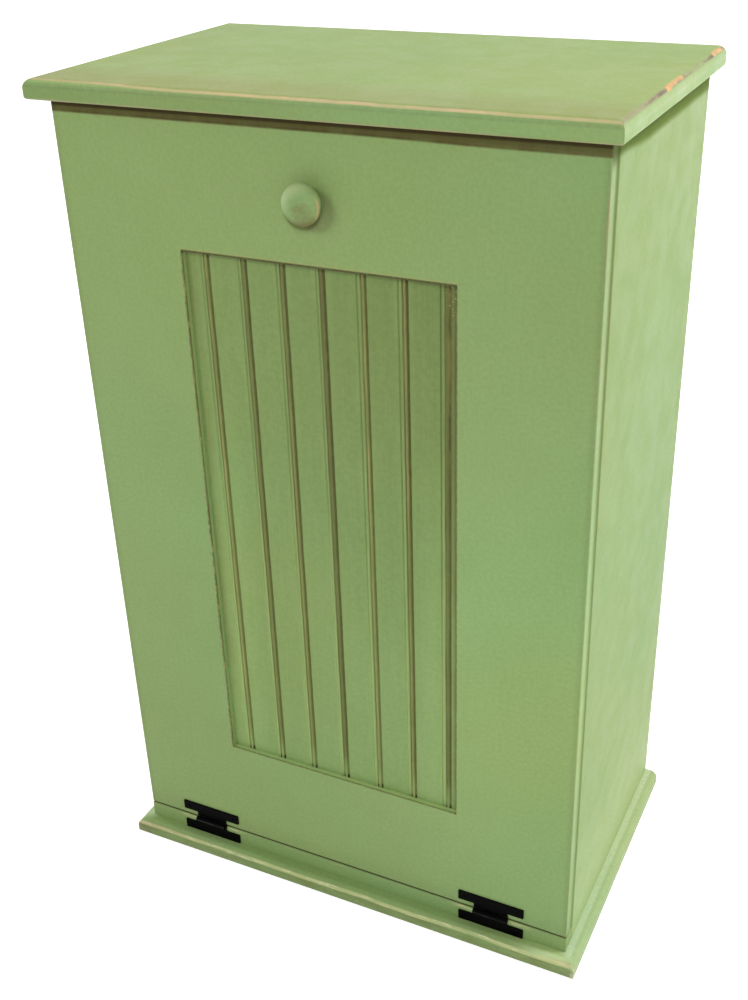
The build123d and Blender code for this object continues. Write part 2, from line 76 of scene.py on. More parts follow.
# A Finish is one material, the nodes in it and its colour so far
class Finish:
    def __init__(self, name):
        self.material = bpy.data.materials.new(name)
        self.material.use_nodes = True
        self.tree = self.material.node_tree
        self.tree.nodes.clear()
        self.place = self.node("ShaderNodeTexCoord", out="Object")
        self.x, self.y, self.z = (
            self.node("ShaderNodeSeparateXYZ", inputs={0: self.place}, out=axis) for axis in "XYZ")
        self.color = None

    def node(self, kind, settings=None, inputs=None, out=0):
        made = self.tree.nodes.new(kind)
        for name, value in (settings or {}).items():
            if name == "steps":
                self.setSteps(made.color_ramp, value)
            else:
                setattr(made, name, value)
        for name, value in (inputs or {}).items():
            socket = made.inputs[name]
            if isinstance(value, Wire):
                self.tree.links.new(value.socket, socket)
            elif socket.type == "RGBA" and len(value) == 3:
                socket.default_value = (*value, 1)
            else:
                socket.default_value = value
        return Wire(self, made.outputs[out]) if made.outputs else None

    # a ramp that holds each grey value as far as the next one
    def setSteps(self, ramp, values):
        ramp.interpolation = "CONSTANT"
        while len(ramp.elements) < len(values):
            ramp.elements.new(1)
        for number, (element, value) in enumerate(zip(ramp.elements, values)):
            element.position = number / len(values)
            element.color = (value, value, value, 1)

    def math(self, operation, *values):
        return self.node("ShaderNodeMath", {"operation": operation}, dict(enumerate(values)))

    def least(self, first, *others):
        for other in others:
            first = self.math("MINIMUM", first, other)
        return first

    def most(self, first, *others):
        for other in others:
            first = self.math("MAXIMUM", first, other)
        return first

    def distance(self, first, second):
        return self.math("SQRT", first * first + second * second)

    def rise(self, value, low, high):
        inputs = {"Value": value, "From Min": low, "From Max": high}
        return self.node("ShaderNodeMapRange", {"interpolation_type": "SMOOTHSTEP"}, inputs)

    def mix(self, below, above, mask, blend="MIX"):
        settings = {"data_type": "RGBA", "blend_type": blend}
        return self.node("ShaderNodeMix", settings, {0: mask, 6: below, 7: above}, out=2)

    # lays a colour over the one so far
    def cover(self, above, mask):
        self.color = self.mix(self.color, above, mask)

    # multiplies the colour so far by a tone
    def tint(self, tone, mask=1.0):
        self.color = self.mix(self.color, tone, mask, "MULTIPLY")

    # noise whose features are so many metres long in x, y and z, spread evenly from 0 to 1
    def noise(self, lengths, detail=3.0, roughness=0.5, shift=0.0, contrast=0.2):
        scales = tuple(1 / length for length in lengths)
        inputs = {0: self.place, 1: scales, 2: (shift, shift, shift)}
        spot = self.node("ShaderNodeVectorMath", {"operation": "MULTIPLY_ADD"}, inputs)
        inputs = {"Vector": spot, "Scale": 1.0, "Detail": detail, "Roughness": roughness}
        return self.node("ShaderNodeTexNoise", inputs=inputs).rise(0.5 - contrast, 0.5 + contrast)

    def done(self, roughness, height, depth=0.3 * mm, metallic=0.0, specular=0.25, sheen=0.0):
        bump = self.node("ShaderNodeBump", inputs={"Distance": depth, "Height": height})
        inputs = {"Base Color": self.color, "Roughness": roughness, "Metallic": metallic,
                  "Specular IOR Level": specular, "Sheen Weight": sheen, "Normal": bump}
        shader = self.node("ShaderNodeBsdfPrincipled", inputs=inputs)
        self.node("ShaderNodeOutputMaterial", inputs={"Surface": shader})
        return self.material


def dress(material, *names):
    for name in names:
        for slot in nodes[name].material_slots:
            slot.material = material


# how far a point is inside each face of a piece's box
def gapsOf(finish, low, high):
    return {
        "left": finish.x - low.x, "right": high.x - finish.x,
        "front": finish.y - low.y, "back": high.y - finish.y,
        "bottom": finish.z - low.z, "top": high.z - finish.z,
    }


# a value for each of x, y and z: the first for the axis of the grain, the second for the others
def grained(grain, along, across):
    return tuple(along if axis == grain else across for axis in "xyz")


# Milk paint over pine: brushed, a little cloudy, rubbed through at the arrises, glazed brown in the corners.
# The lengths are those of its brush marks, narrow ones and broad ones
milkPaint = {
    "green": (0.280, 0.425, 0.163), "deepGreen": (0.245, 0.390, 0.138), "olive": (0.300, 0.402, 0.133),
    "tan": (0.560, 0.400, 0.185), "brown": (0.170, 0.120, 0.055), "glaze": (0.095, 0.078, 0.030),
    "strokeLength": 110 * mm, "strokeWidth": 1.6 * mm, "broadWidth": 9.6 * mm,
    "strokeTone": (0.80, 0.80, 0.72), "broadTone": (0.88, 0.88, 0.84), "mottleTone": (0.92, 0.92, 0.90),
    "roughness": 0.46, "uneven": 0.10, "dirtRoughness": 0.42,
}


# the paint before any wear: it sets the colour and returns the height of the brush marks along the grain
def brushedPaint(finish, grain, streaks=0.10, shift=0.0, tone=1.0):
    clouds = finish.noise((0.15, 0.15, 0.15), detail=4.0, shift=shift)
    drift = finish.noise((0.34, 0.34, 0.34), detail=2.0, shift=shift + 7)
    narrow = grained(grain, milkPaint["strokeLength"], milkPaint["strokeWidth"])
    strokes = finish.noise(narrow, detail=3.0, roughness=0.6, shift=shift, contrast=0.25)
    broad = finish.noise(grained(grain, milkPaint["strokeLength"], milkPaint["broadWidth"]), shift=shift + 3)
    mottle = finish.noise(inMm(4, 4, 4), detail=2.0, shift=shift + 5)
    green, deep, olive = ([channel * tone for channel in milkPaint[name]]
                          for name in ("green", "deepGreen", "olive"))
    finish.color = finish.mix(green, deep, clouds * 0.7)
    finish.cover(olive, drift * 0.6)
    finish.tint(milkPaint["strokeTone"], strokes * streaks)
    finish.tint(milkPaint["broadTone"], broad * streaks)
    finish.tint(milkPaint["mottleTone"], mottle)
    return strokes * 0.5 + broad * 0.4


def paintRoughness(finish, shift=0.0, dirt=0.0):
    uneven = milkPaint["uneven"] * finish.noise((0.03, 0.03, 0.03), shift=shift)
    return milkPaint["roughness"] + uneven + milkPaint["dirtRoughness"] * dirt


print("camera")
# The camera stands right of the front and looks down, and its lens keeps the photographed height of 1000
view = {
    "place": (0.53885, -1.11459, 1.12598), "turn": 0.45841, "dip": 0.49712, "roll": -0.02978,
    "focal": 1267.33, "centre": (383.49, 497.23), "frame": (748, 1000),
}
cameraData = bpy.data.cameras.new("camera")
cameraData.sensor_width = 36
cameraData.lens = view["focal"] / view["frame"][1] * cameraData.sensor_width
cameraData.shift_x = (view["frame"][0] / 2 - view["centre"][0]) / view["frame"][1]
cameraData.shift_y = (view["centre"][1] - view["frame"][1] / 2) / view["frame"][1]
turn, dip, roll = view["turn"], view["dip"], view["roll"]
ahead = Vector((-math.sin(turn) * math.cos(dip), math.cos(turn) * math.cos(dip), -math.sin(dip)))
level = Vector((math.cos(turn), math.sin(turn), 0))
upright = level.cross(ahead)
right = level * math.cos(roll) + upright * math.sin(roll)
up = upright * math.cos(roll) - level * math.sin(roll)
camera = bpy.data.objects.new("camera", cameraData)
camera.matrix_world = Matrix.Translation(view["place"]) @ Matrix((right, up, -ahead)).transposed().to_4x4()
bpy.context.scene.collection.objects.link(camera)
bpy.context.scene.camera = camera
bpy.context.scene.view_settings.view_transform = "Standard"

print("floor, world and lamps")
studio = {"ambient": 0.45, "floorShade": 0.80, "glowNear": 0.66, "glowFar": 1.0, "glowReach": (0.5, 1.9)}


# 1 where a ray comes from the camera or from a reflection, which both see the white background
def looksDirect(finish):
    rays = ("Is Camera Ray", "Is Glossy Ray", "Is Transmission Ray")
    return finish.most(*[finish.node("ShaderNodeLightPath", out=ray) for ray in rays])


class Sky(Finish):
    def __init__(self, name):
        self.world = bpy.data.worlds.new(name)
        self.world.use_nodes = True
        self.tree = self.world.node_tree
        self.tree.nodes.clear()


sky = Sky("studio")
strength = studio["ambient"] + (1 - studio["ambient"]) * looksDirect(sky)
background = sky.node("ShaderNodeBackground", inputs={"Color": (1, 1, 1), "Strength": strength})
sky.node("ShaderNodeOutputWorld", inputs={"Surface": background})
bpy.context.scene.world = sky.world

bpy.ops.mesh.primitive_plane_add(size=40)
floor = bpy.context.object
floor.name = "floor"
floorFinish = Finish("paleFloor")
matt = floorFinish.node("ShaderNodeBsdfDiffuse", inputs={"Color": (studio["floorShade"],) * 3})
away = floorFinish.distance(floorFinish.x, floorFinish.y)
glowRange = studio["glowFar"] - studio["glowNear"]
glowShare = (studio["glowNear"] + glowRange * away.rise(*studio["glowReach"])) * looksDirect(floorFinish)
glow = floorFinish.node("ShaderNodeEmission", inputs={"Color": (1, 1, 1), "Strength": 1.0})
glowing = floorFinish.node("ShaderNodeAddShader", inputs={0: matt, 1: glow})
floorSurface = floorFinish.node("ShaderNodeMixShader", inputs={0: glowShare, 1: matt, 2: glowing})
floorFinish.node("ShaderNodeOutputMaterial", inputs={"Surface": floorSurface})
floor.data.materials.append(floorFinish.material)

lamps = {
    "keyRight": {"at": (1.065, -2.37, 2.37), "size": 0.22, "watts": 14.5},
    "keyLeft": {"at": (-1.25, -2.20, 2.10), "size": 0.85, "watts": 14},
    "softHigh": {"at": (1.95, 0.50, 3.00), "size": 0.60, "watts": 46},
    "softRight": {"at": (3.00, -0.40, 0.60), "size": 1.20, "watts": 20},
    "softLeft": {"at": (-2.60, 0.20, 0.75), "size": 1.20, "watts": 30},
    "softBack": {"at": (0.20, 3.20, 0.45), "size": 1.20, "watts": 18},
}
aim = Vector((0, 0, 0.5))
for name, lamp in lamps.items():
    light = bpy.data.lights.new(name, "AREA")
    light.size = lamp["size"]
    light.energy = lamp["watts"]
    made = bpy.data.objects.new(name, light)
    made.location = lamp["at"]
    made.rotation_euler = (aim - made.location).to_track_quat("-Z", "Y").to_euler()
    bpy.context.scene.collection.objects.link(made)

print("painted boards")
# On the rounded edge of a board, turn is the gap to its side less the gap to its top: it rises from
# the face over the round, where 0 is its middle, to the flat
topEdge = {
    "face": inMm(-7, -3), "faceFade": (-0.28, 0.40), "faceTone": (0.80, 0.80, 0.75),
    "flat": inMm(0, 8), "flatTone": (1.10, 1.00, 0.89),
    "nearFront": inMm(25, 90), "frontTone": (0.98, 0.85, 0.86),
    "paintedHighlightFace": inMm(-13, -9, -4, -1), "paintedHighlightTone": (1.16, 1.05, 1.26),
    "belowLine": inMm(-8, -5, -2, 0), "belowTone": (0.84, 0.84, 0.84),
    "frontLine": inMm(-1.6, 0.0, 3.0, 4.6), "wander": (-0.21, -0.12), "wanderBy": 3.5 * mm,
    "leftEnd": (-0.284, -0.20), "pinkEnd": (0.10, 0.24), "buff": (0.690, 0.540, 0.280),
    "pink": (0.700, 0.480, 0.290), "redLine": inMm(3.0, 3.8, 4.6, 6.2), "red": (0.330, 0.215, 0.110),
    "sideLine": inMm(-2.2, -0.4, 3.6, 7.0), "fullerFront": (-0.06, 0.06), "greyPink": (0.340, 0.275, 0.175),
    "dashes": inMm(-1.4, 0.4, 3.0, 4.6), "darkSpots": (inMm(-70, -42), inMm(108, 134)),
    "dark": (0.150, 0.120, 0.070), "bareSpots": (inMm(-38, 22), inMm(134, 176)),
    "bareDepth": inMm(12, 16), "bareTurn": inMm(-1.2, 0.6, 5.0, 7.4), "bare": (0.800, 0.420, 0.180),
    "under": inMm(0.8, 2.6), "underTan": (0.490, 0.395, 0.230), "lowest": inMm(0.1, 0.8),
    "corner": inMm(2, 5.5), "cornerTurn": inMm(-9, 1),
}


# the turn of a board's edge, and 1 where its front is the nearest side
def edgeOf(finish, gaps):
    ends = finish.least(gaps["left"], gaps["right"])
    onFront = (ends - gaps["front"]).rise(-1 * mm, 1 * mm)
    return finish.least(ends, gaps["front"]) - gaps["top"], onFront


def paintTopBoard():
    finish = Finish("topBoardPaint")
    gaps = gapsOf(finish, *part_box("top_board"))
    height = brushedPaint(finish, "x", streaks=0.02, shift=1.3, tone=1.08)
    turn, onFront = edgeOf(finish, gaps)
    onSide = 1 - onFront
    onFlat = turn.rise(*topEdge["flat"])
    patchy = finish.noise((0.05, 0.05, 0.02), detail=4.0, roughness=0.65, shift=2.0)
    fine = finish.noise((0.012, 0.012, 0.006), detail=3.0, shift=5.0)
    streaky = finish.noise((0.05, 0.035, 0.003), detail=3.0, roughness=0.6, shift=6.0)
    face = turn.fall(*topEdge["face"]) * onFront * finish.x.fall(*topEdge["faceFade"])
    finish.tint(topEdge["faceTone"], face)
    finish.tint(topEdge["flatTone"], onFlat)
    finish.tint(topEdge["frontTone"], gaps["front"].fall(*topEdge["nearFront"]) * onFlat)
    # painted highlight on the side faces just below the rounded edge
    finish.tint(topEdge["paintedHighlightTone"], turn.band(*topEdge["paintedHighlightFace"]) * onSide)
    finish.tint(topEdge["belowTone"], turn.band(*topEdge["belowLine"]) * onFront)
    # the front line leaves the rim for the flat towards the left, and reddish brown shows on its upper side
    wander = topEdge["wanderBy"] * finish.x.fall(*topEdge["wander"]) + 1.2 * mm * (patchy - 0.5)
    frontTurn = turn - wander
    redLine = frontTurn.band(*topEdge["redLine"]) * onFront * (0.2 + 0.8 * streaky)
    finish.cover(topEdge["red"], redLine * 0.38)
    fading = finish.x.rise(*topEdge["leftEnd"]) * 0.5 + 0.5
    rubbed = frontTurn.band(*topEdge["frontLine"]) * onFront * fading
    rubbed = rubbed * (0.55 + 0.42 * patchy) * (0.78 + 0.22 * fine)
    pinker = finish.most(streaky, finish.x.rise(*topEdge["pinkEnd"]) * 0.8)
    finish.cover(finish.mix(topEdge["buff"], topEdge["pink"], pinker), rubbed)
    fuller = 0.35 + 0.50 * streaky + 0.35 * finish.y.fall(*topEdge["fullerFront"])
    rubbedSide = turn.band(*topEdge["sideLine"]) * onSide * fuller * (0.55 + 0.45 * fine)
    finish.cover(topEdge["greyPink"], rubbedSide)
    dashed = turn.band(*topEdge["dashes"]) * onSide
    finish.cover(topEdge["dark"], dashed * streaky.rise(0.45, 0.85) * 0.55)
    for first, last in topEdge["darkSpots"]:
        spot = finish.y.band(first, first + 10 * mm, last - 6 * mm, last)
        finish.cover(topEdge["dark"], spot * dashed * (0.35 + 0.40 * fine))
    for first, last in topEdge["bareSpots"]:
        place = finish.y + 12 * mm * (fine - 0.5)
        spot = place.band(first, first + 6 * mm, last - 8 * mm, last)
        spot = spot * gaps["right"].fall(*topEdge["bareDepth"])
        bare = spot * (turn + 2.5 * mm * (fine - 0.5)).band(*topEdge["bareTurn"])
        finish.cover(topEdge["bare"], bare * (0.50 + 0.45 * fine))
    under = gaps["bottom"].fall(*topEdge["under"])
    finish.cover(topEdge["underTan"], under * onFront * (0.25 + 0.55 * patchy))
    corner = (finish.most(gaps["right"], gaps["front"]) - 2 * mm * fine).fall(*topEdge["corner"])
    finish.cover(topEdge["pink"], corner * turn.rise(*topEdge["cornerTurn"]) * (0.10 + 0.22 * patchy))
    finish.cover(milkPaint["glaze"], gaps["bottom"].fall(*topEdge["lowest"]) * 0.40)
    return finish.done(paintRoughness(finish), height - rubbed * 0.6, depth=0.06 * mm)


dress(paintTopBoard(), "top_board")

baseEdge = {
    "ledgeTone": (0.95, 0.90, 0.88), "paintedLightSideFaceTone": (1.33, 1.19, 1.52), "paintedLightSideLedge": inMm(6, 10),
    "paintedLightSideLedgeTone": (1.50, 1.38, 1.85), "paintedLightNearRight": (0.16, 0.28), "paintedLightNearRightTurn": inMm(2, 8),
    "paintedLightNearRightTone": (1.50, 1.40, 1.48), "face": inMm(-7, -4), "mottle": (0.165, 0.165, 0.045),
    "brownEnd": (-0.280, -0.245), "paintedLightPaleEnd": (0.205, 0.245), "paintedLightPaleTurn": inMm(-3, 0, 7, 13),
    "pale": (0.520, 0.640, 0.330), "frontLine": inMm(-6.0, -3.8, -0.4, 1.6), "pinkEnd": (-0.28, -0.16),
    "straw": (0.580, 0.610, 0.280), "pink": (0.660, 0.470, 0.290), "fleck": (0.860, 0.840, 0.560),
    "corner": inMm(2, 5), "cornerTurn": inMm(-4, 0), "cream": (0.660, 0.620, 0.400),
    "sideLine": inMm(-3.0, -1.0, 2.0, 4.0), "tanEnd": (0.252, 0.262), "tanTurn": inMm(-3, -1, 3, 5),
    "foot": inMm(0.5, 2.5),
}


def paintBaseBoard():
    finish = Finish("baseBoardPaint")
    gaps = gapsOf(finish, *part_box("base_board"))
    height = brushedPaint(finish, "x", streaks=0.08, shift=11.3)
    turn, onFront = edgeOf(finish, gaps)
    patchy = finish.noise((0.07, 0.07, 0.02), detail=4.0, roughness=0.65, shift=12.0)
    fine = finish.noise((0.012, 0.012, 0.006), detail=3.0, shift=15.0)
    # the ledge before the door is tinted a little darker and more olive
    ends = finish.least(gaps["left"], gaps["right"])
    toFront = (ends - gaps["front"]).rise(-12 * mm, 12 * mm)
    toSide = 1 - toFront
    finish.tint(baseEdge["ledgeTone"], toFront * (0.75 + 0.25 * patchy))
    # painted light: the base's end faces and end ledges are made much paler, as if brightly lit
    finish.tint(baseEdge["paintedLightSideFaceTone"], toSide)
    finish.tint(baseEdge["paintedLightSideLedgeTone"], toSide * turn.rise(*baseEdge["paintedLightSideLedge"]))
    # painted light: the front ledge's right end, where light falls on it, is made paler
    paintedLightNearRight = finish.x.rise(*baseEdge["paintedLightNearRight"]) * turn.rise(*baseEdge["paintedLightNearRightTurn"]) * toFront
    finish.tint(baseEdge["paintedLightNearRightTone"], paintedLightNearRight)
    face = turn.fall(*baseEdge["face"])
    mottled = finish.noise((0.030, 0.030, 0.008), detail=4.0, roughness=0.7, shift=17.0)
    finish.cover(baseEdge["mottle"], face * toFront * mottled * 0.50)
    finish.cover(milkPaint["brown"], face * finish.x.fall(*baseEdge["brownEnd"]) * (0.25 + 0.30 * fine))
    # painted light: a paler green on the front ledge's edge at its right end
    paintedLightPaleEnd = finish.x.rise(*baseEdge["paintedLightPaleEnd"]) * turn.band(*baseEdge["paintedLightPaleTurn"]) * toFront
    finish.cover(baseEdge["pale"], paintedLightPaleEnd * (0.60 + 0.20 * patchy))
    # the front line wavers, is pinkish at its left end and has pale flecks
    slow = finish.noise((0.10, 0.10, 0.10), detail=2.0, shift=19.0)
    line = (turn + 2.8 * mm * (slow - 0.5)).band(*baseEdge["frontLine"]) * onFront
    rubbed = line * (0.55 + 0.35 * patchy) * (0.80 + 0.20 * fine)
    worn = finish.mix(baseEdge["straw"], baseEdge["pink"], finish.x.fall(*baseEdge["pinkEnd"]) * 0.7)
    finish.cover(worn, rubbed)
    flecks = finish.noise((0.025, 0.025, 0.002), detail=3.0, roughness=0.6, shift=18.0).rise(0.62, 0.92)
    finish.cover(baseEdge["fleck"], line * flecks * 0.50)
    corner = finish.most(gaps["right"], gaps["front"]).fall(*baseEdge["corner"])
    finish.cover(baseEdge["cream"], corner * turn.fall(*baseEdge["cornerTurn"]) * (0.30 + 0.35 * fine))
    rubbedSide = turn.band(*baseEdge["sideLine"]) * (1 - onFront)
    rubbedSide = rubbedSide * (0.03 + 0.14 * patchy) * (0.6 + 0.4 * fine)
    finish.cover(baseEdge["straw"], rubbedSide)
    tanEnd = finish.x.rise(*baseEdge["tanEnd"]) * turn.band(*baseEdge["tanTurn"]) * onFront
    finish.cover(milkPaint["tan"], tanEnd * 0.45 * (0.4 + 0.6 * fine))
    foot = gaps["bottom"].fall(*baseEdge["foot"])
    finish.cover(milkPaint["glaze"], foot * 0.30 * (0.3 + 0.7 * patchy))
    return finish.done(paintRoughness(finish), height - rubbed * 0.6)


dress(paintBaseBoard(), "base_board")

# The door is one painted face: its wear follows the outline of the whole door and the panel's opening
doorWear = {
    "paintedLightPool": (0.215, 0.36), "paintedLightPoolReach": (0.04, 0.27), "paintedLightPoolTone": (1.13, 1.15, 1.13),
    "onFace": inMm(1, 2), "softEdge": inMm(1.5, 8.0), "reach": 1.3 * mm, "wornHigh": (0.62, 0.86),
    "wornLow": (0.10, 0.34), "pinkBrown": (0.400, 0.270, 0.150), "backLine": inMm(0.4, 11),
    "paintedSideShade": inMm(9, 27), "paintedSideShadeTone": (0.47, 0.47, 0.30), "oliveBrown": (0.115, 0.100, 0.030),
    "joint": inMm(1.2, 2.3), "jointGreen": (0.074, 0.088, 0.022), "hingeTop": inMm(45, 46.5),
    "paintedHingeShade": (0.006, 0.006, 0.004), "openingEdge": inMm(0.3, 1.5), "tenon": 9.3 * mm,
    "onArris": inMm(1.2, 2.4), "leftEdge": inMm(0.8, 2.2), "headGlazeAndShade": inMm(1.2, 2.6),
    "headDepth": inMm(8, 10), "overHead": inMm(1.8, 2.4, 3.0, 4.0), "gold": (0.480, 0.400, 0.150),
    "paintedLightSillTone": (1.40, 1.32, 1.38), "stainAt": inMm(5, -9), "knobStainAndShadow": inMm(17, 22),
    "paintedKnobShadowAt": inMm(-8, -8.5), "paintedKnobShadow": inMm(17.5, 20.5), "lowerRight": (0.05, 0.18),
    "underTop": inMm(8.6, 11.0), "underTopGlazeAndShade": (0.118, 0.080, 0.022), "darkest": inMm(3.0, 5.2),
    "lastLine": inMm(7.0, 8.2, 9.2, 10.4), "darkestGlazeAndShade": (0.050, 0.032, 0.010),
}
doorNodes = ["door_stile_left", "door_stile_right", "door_rail_top", "door_rail_bottom"]
doorLow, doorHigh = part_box("door_stile_left")[0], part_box("door_stile_right")[1]
railLow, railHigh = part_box("door_rail_bottom"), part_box("door_rail_top")
knobLow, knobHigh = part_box("knob")
knobMiddle = (knobLow + knobHigh) / 2
pinLow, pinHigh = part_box("hinge_pin_right")
hingeX, hingeY, hingeZ = (pinLow + pinHigh) / 2
opening = {
    "half": railHigh[1].x - doorWear["tenon"], "bottom": railLow[1].z, "top": railHigh[0].z,
}


# how far a point is from the nearer hinge's middle, sideways
def besideHinge(finish):
    return abs(abs(finish.x) - hingeX)


# 1 on the wood that lies close behind a hinge's knuckles, which is painted near black as shade
def behindHinge(finish):
    return besideHinge(finish).fall(20 * mm, 21.5 * mm)


def paintDoor():
    finish = Finish("doorPaint")
    gaps = gapsOf(finish, doorLow, doorHigh)
    height = brushedPaint(finish, "z", streaks=0.03, shift=21.3)
    # painted light: a pool of light across the middle of the door, made lighter there
    paintedLightPoolX, paintedLightPoolZ = finish.x - doorWear["paintedLightPool"][0], (finish.z - doorWear["paintedLightPool"][1]) * 0.7
    finish.tint(doorWear["paintedLightPoolTone"], finish.distance(paintedLightPoolX, paintedLightPoolZ).fall(*doorWear["paintedLightPoolReach"]))
    patchy = finish.noise((0.02, 0.02, 0.06), detail=4.0, roughness=0.65, shift=22.0)
    fine = finish.noise((0.004, 0.004, 0.010), detail=3.0, shift=25.0)
    blotches = finish.noise((0.03, 0.03, 0.09), detail=3.0, roughness=0.6, shift=28.0)
    # upright arrises: a thin pinkish brown line, patchy, and a softly darker strip beside it
    ends = finish.least(gaps["left"], gaps["right"])
    onFace = gaps["front"].fall(*doorWear["onFace"])
    finish.cover(milkPaint["glaze"], ends.fall(*doorWear["softEdge"]) * onFace * 0.15)
    fromSide = finish.most(ends, gaps["front"])
    reach = doorWear["reach"] * (0.5 + 0.9 * blotches)
    rub = (reach - fromSide).rise(-0.4 * mm, 0.4 * mm) * (0.30 + 0.55 * blotches)
    worn = finish.mix(milkPaint["brown"], doorWear["pinkBrown"], blotches)
    mostWorn = 0.24 + 0.62 * finish.z.rise(*doorWear["wornHigh"]) + 0.70 * finish.z.fall(*doorWear["wornLow"])
    finish.cover(worn, rub * (0.50 + 0.40 * fine) * mostWorn)
    # the door's own side, the dark line along its back where it meets the cabinet, and painted shade at its
    # top
    backLine = gaps["back"].fall(*doorWear["backLine"]) * ends.fall(0.5 * mm, 1.5 * mm)
    finish.cover(milkPaint["glaze"], backLine * (0.42 + 0.22 * finish.z.rise(0.40, 0.80)))
    # painted shade: the side is darkened below the top board, with dark glaze lines at its front and back
    paintedSideShade = gaps["top"].fall(*doorWear["paintedSideShade"]) * (1 - onFace) * ends.fall(0.3 * mm, 0.9 * mm)
    finish.tint(doorWear["paintedSideShadeTone"], paintedSideShade)
    sideLines = finish.most(gaps["front"].fall(1.8 * mm, 4.5 * mm), gaps["back"].fall(0.8 * mm, 5.0 * mm))
    finish.cover(doorWear["oliveBrown"], paintedSideShade * sideLines * 0.60)
    # the joints above and below the door, rubbed near its lower corners
    fromEnd = finish.most(finish.least(gaps["bottom"], gaps["top"]), gaps["front"])
    finish.cover(milkPaint["glaze"], gaps["bottom"].fall(2 * mm, 30 * mm) * 0.12)
    finish.cover(doorWear["jointGreen"], fromEnd.fall(*doorWear["joint"]) * (0.80 + 0.20 * patchy))
    nearEnd = ends.fall(4 * mm, 26 * mm)
    bottomRub = fromEnd.fall(0.8 * mm, 2.4 * mm) * gaps["bottom"].fall(3 * mm, 4 * mm) * nearEnd
    finish.cover(milkPaint["tan"], bottomRub * 0.45 * (0.4 + 0.6 * fine))
    # painted shade: near black on the door's wood behind the hinge knuckles
    paintedHingeShade = behindHinge(finish) * finish.z.fall(*doorWear["hingeTop"])
    finish.cover(doorWear["paintedHingeShade"], paintedHingeShade)
    # distance from the opening's outline: into the opening for the jambs, onto the frame for the face
    fromLeft = abs(finish.x + opening["half"])
    fromRight = abs(finish.x - opening["half"])
    bottom, top = opening["bottom"], opening["top"]
    fromTop = abs(finish.z - top)
    fromBottom = abs(finish.z - bottom)
    reachZ = finish.z.band(bottom - 1 * mm, bottom, top, top + 1 * mm)
    reachX = abs(finish.x).fall(opening["half"], opening["half"] + 1 * mm)
    flecks = finish.noise((0.003, 0.003, 0.007), detail=4.0, roughness=0.75, shift=29.0)
    onArris = gaps["front"].fall(*doorWear["onArris"])
    leftEdge = (fromLeft + 1.6 * mm * (flecks - 0.5)).fall(*doorWear["leftEdge"]) * reachZ * onArris
    rightEdge = fromRight.fall(*doorWear["openingEdge"]) * reachZ
    headGlazeAndShade = fromTop.fall(*doorWear["headGlazeAndShade"]) * reachX * gaps["front"].fall(*doorWear["headDepth"])
    overHead = (finish.z - top).band(*doorWear["overHead"]) * reachX * onArris
    sill = fromBottom.fall(*doorWear["openingEdge"]) * reachX
    finish.cover(doorWear["oliveBrown"], leftEdge * (0.50 + 0.45 * blotches))
    gold = finish.noise((0.004, 0.004, 0.012), detail=4.0, roughness=0.75, shift=34.0).rise(0.55, 0.95)
    beside = finish.most(fromLeft.fall(1.0 * mm, 3.2 * mm), fromRight.fall(1.0 * mm, 2.6 * mm))
    finish.cover(doorWear["gold"], beside * reachZ * onFace * gold * 0.60)
    finish.cover(doorWear["gold"], overHead * (0.10 + 0.40 * flecks))
    finish.cover(doorWear["oliveBrown"], rightEdge * (0.35 + 0.50 * flecks))
    # glaze and painted shade along the head rail's lower arris, above the recessed panel
    finish.cover(milkPaint["glaze"], headGlazeAndShade * (0.80 + 0.20 * flecks))
    # painted light: the sill behind its arris is made lighter, offsetting its shade
    finish.tint(doorWear["paintedLightSillTone"], sill * (1 - onArris))
    finish.cover(milkPaint["brown"], sill * onArris * (0.25 + 0.35 * flecks))
    # a faint stain round the knob, with a painted soft shadow, and a painted shadow of the knob close below
    # it
    fromKnobX, fromKnobZ = finish.x - knobMiddle.x, finish.z - knobMiddle.z
    stainX, stainZ = fromKnobX - doorWear["stainAt"][0], fromKnobZ - doorWear["stainAt"][1]
    away = finish.distance(stainX, stainZ)
    finish.cover(milkPaint["brown"], away.fall(*doorWear["knobStainAndShadow"]) * onFace * 0.26)
    paintedKnobShadowX, paintedKnobShadowZ = fromKnobX - doorWear["paintedKnobShadowAt"][0], fromKnobZ - doorWear["paintedKnobShadowAt"][1]
    paintedKnobShadow = finish.distance(paintedKnobShadowX, paintedKnobShadowZ).fall(*doorWear["paintedKnobShadow"]) * onFace
    finish.cover(doorWear["oliveBrown"], paintedKnobShadow * 0.62)
    # the band that the top board shades, painted brown and dark as glaze and painted shade, reaching a little
    # lower at the right
    lower = gaps["top"] - 1.3 * mm * finish.x.rise(*doorWear["lowerRight"])
    underTop = lower.fall(*doorWear["underTop"]) * onFace
    finish.cover(doorWear["underTopGlazeAndShade"], underTop * (0.76 + 0.10 * patchy))
    # painted shade with glaze: the darkest strip right under the top board, and a dark line at the band's
    # lower edge
    finish.cover(doorWear["darkestGlazeAndShade"], gaps["top"].fall(*doorWear["darkest"]) * onFace * 0.85)
    lastLine = lower.band(*doorWear["lastLine"]) * onFace * (0.2 + 0.8 * patchy)
    finish.cover(doorWear["darkestGlazeAndShade"], lastLine * 0.5)
    # the glazed places and the painted shade are made more matte
    dirt = finish.most(underTop, backLine, paintedSideShade, headGlazeAndShade, paintedKnobShadow, paintedHingeShade)
    return finish.done(paintRoughness(finish, 20.0, dirt), height - rub * 0.5)


dress(paintDoor(), *doorNodes)
